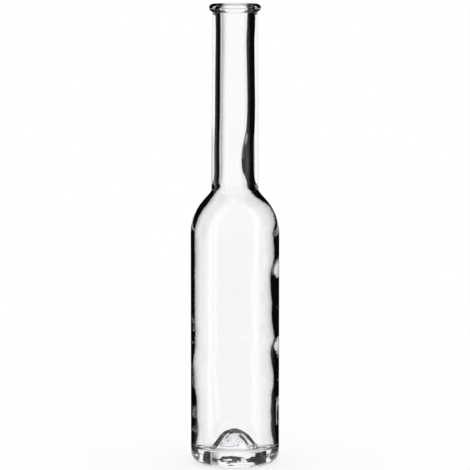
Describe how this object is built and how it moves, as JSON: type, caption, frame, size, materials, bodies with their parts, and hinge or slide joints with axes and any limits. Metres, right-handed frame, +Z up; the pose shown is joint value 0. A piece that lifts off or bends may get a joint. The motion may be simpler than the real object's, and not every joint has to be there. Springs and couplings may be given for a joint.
{
  "type": "spirits bottle",
  "caption": "Tall slim clear glass bottle with a long neck, a rounded collar round an open cork mouth, a cylindrical body and a thick base with a deep punt.",
  "frame": {"origin": "on the surface that the bottle stands on, at the bottle's axis", "axes": "+Z up along the bottle's axis, from the base to the mouth; X and Y are alike, because the bottle is round"},
  "size_m": [0.05, 0.05, 0.2597],
  "materials": {
    "clear_glass": "clear, colourless, fire-polished moulded glass"
  },
  "bodies": {
    "root": {"glass_bottle": "clear_glass"}
  },
  "joints": []
}
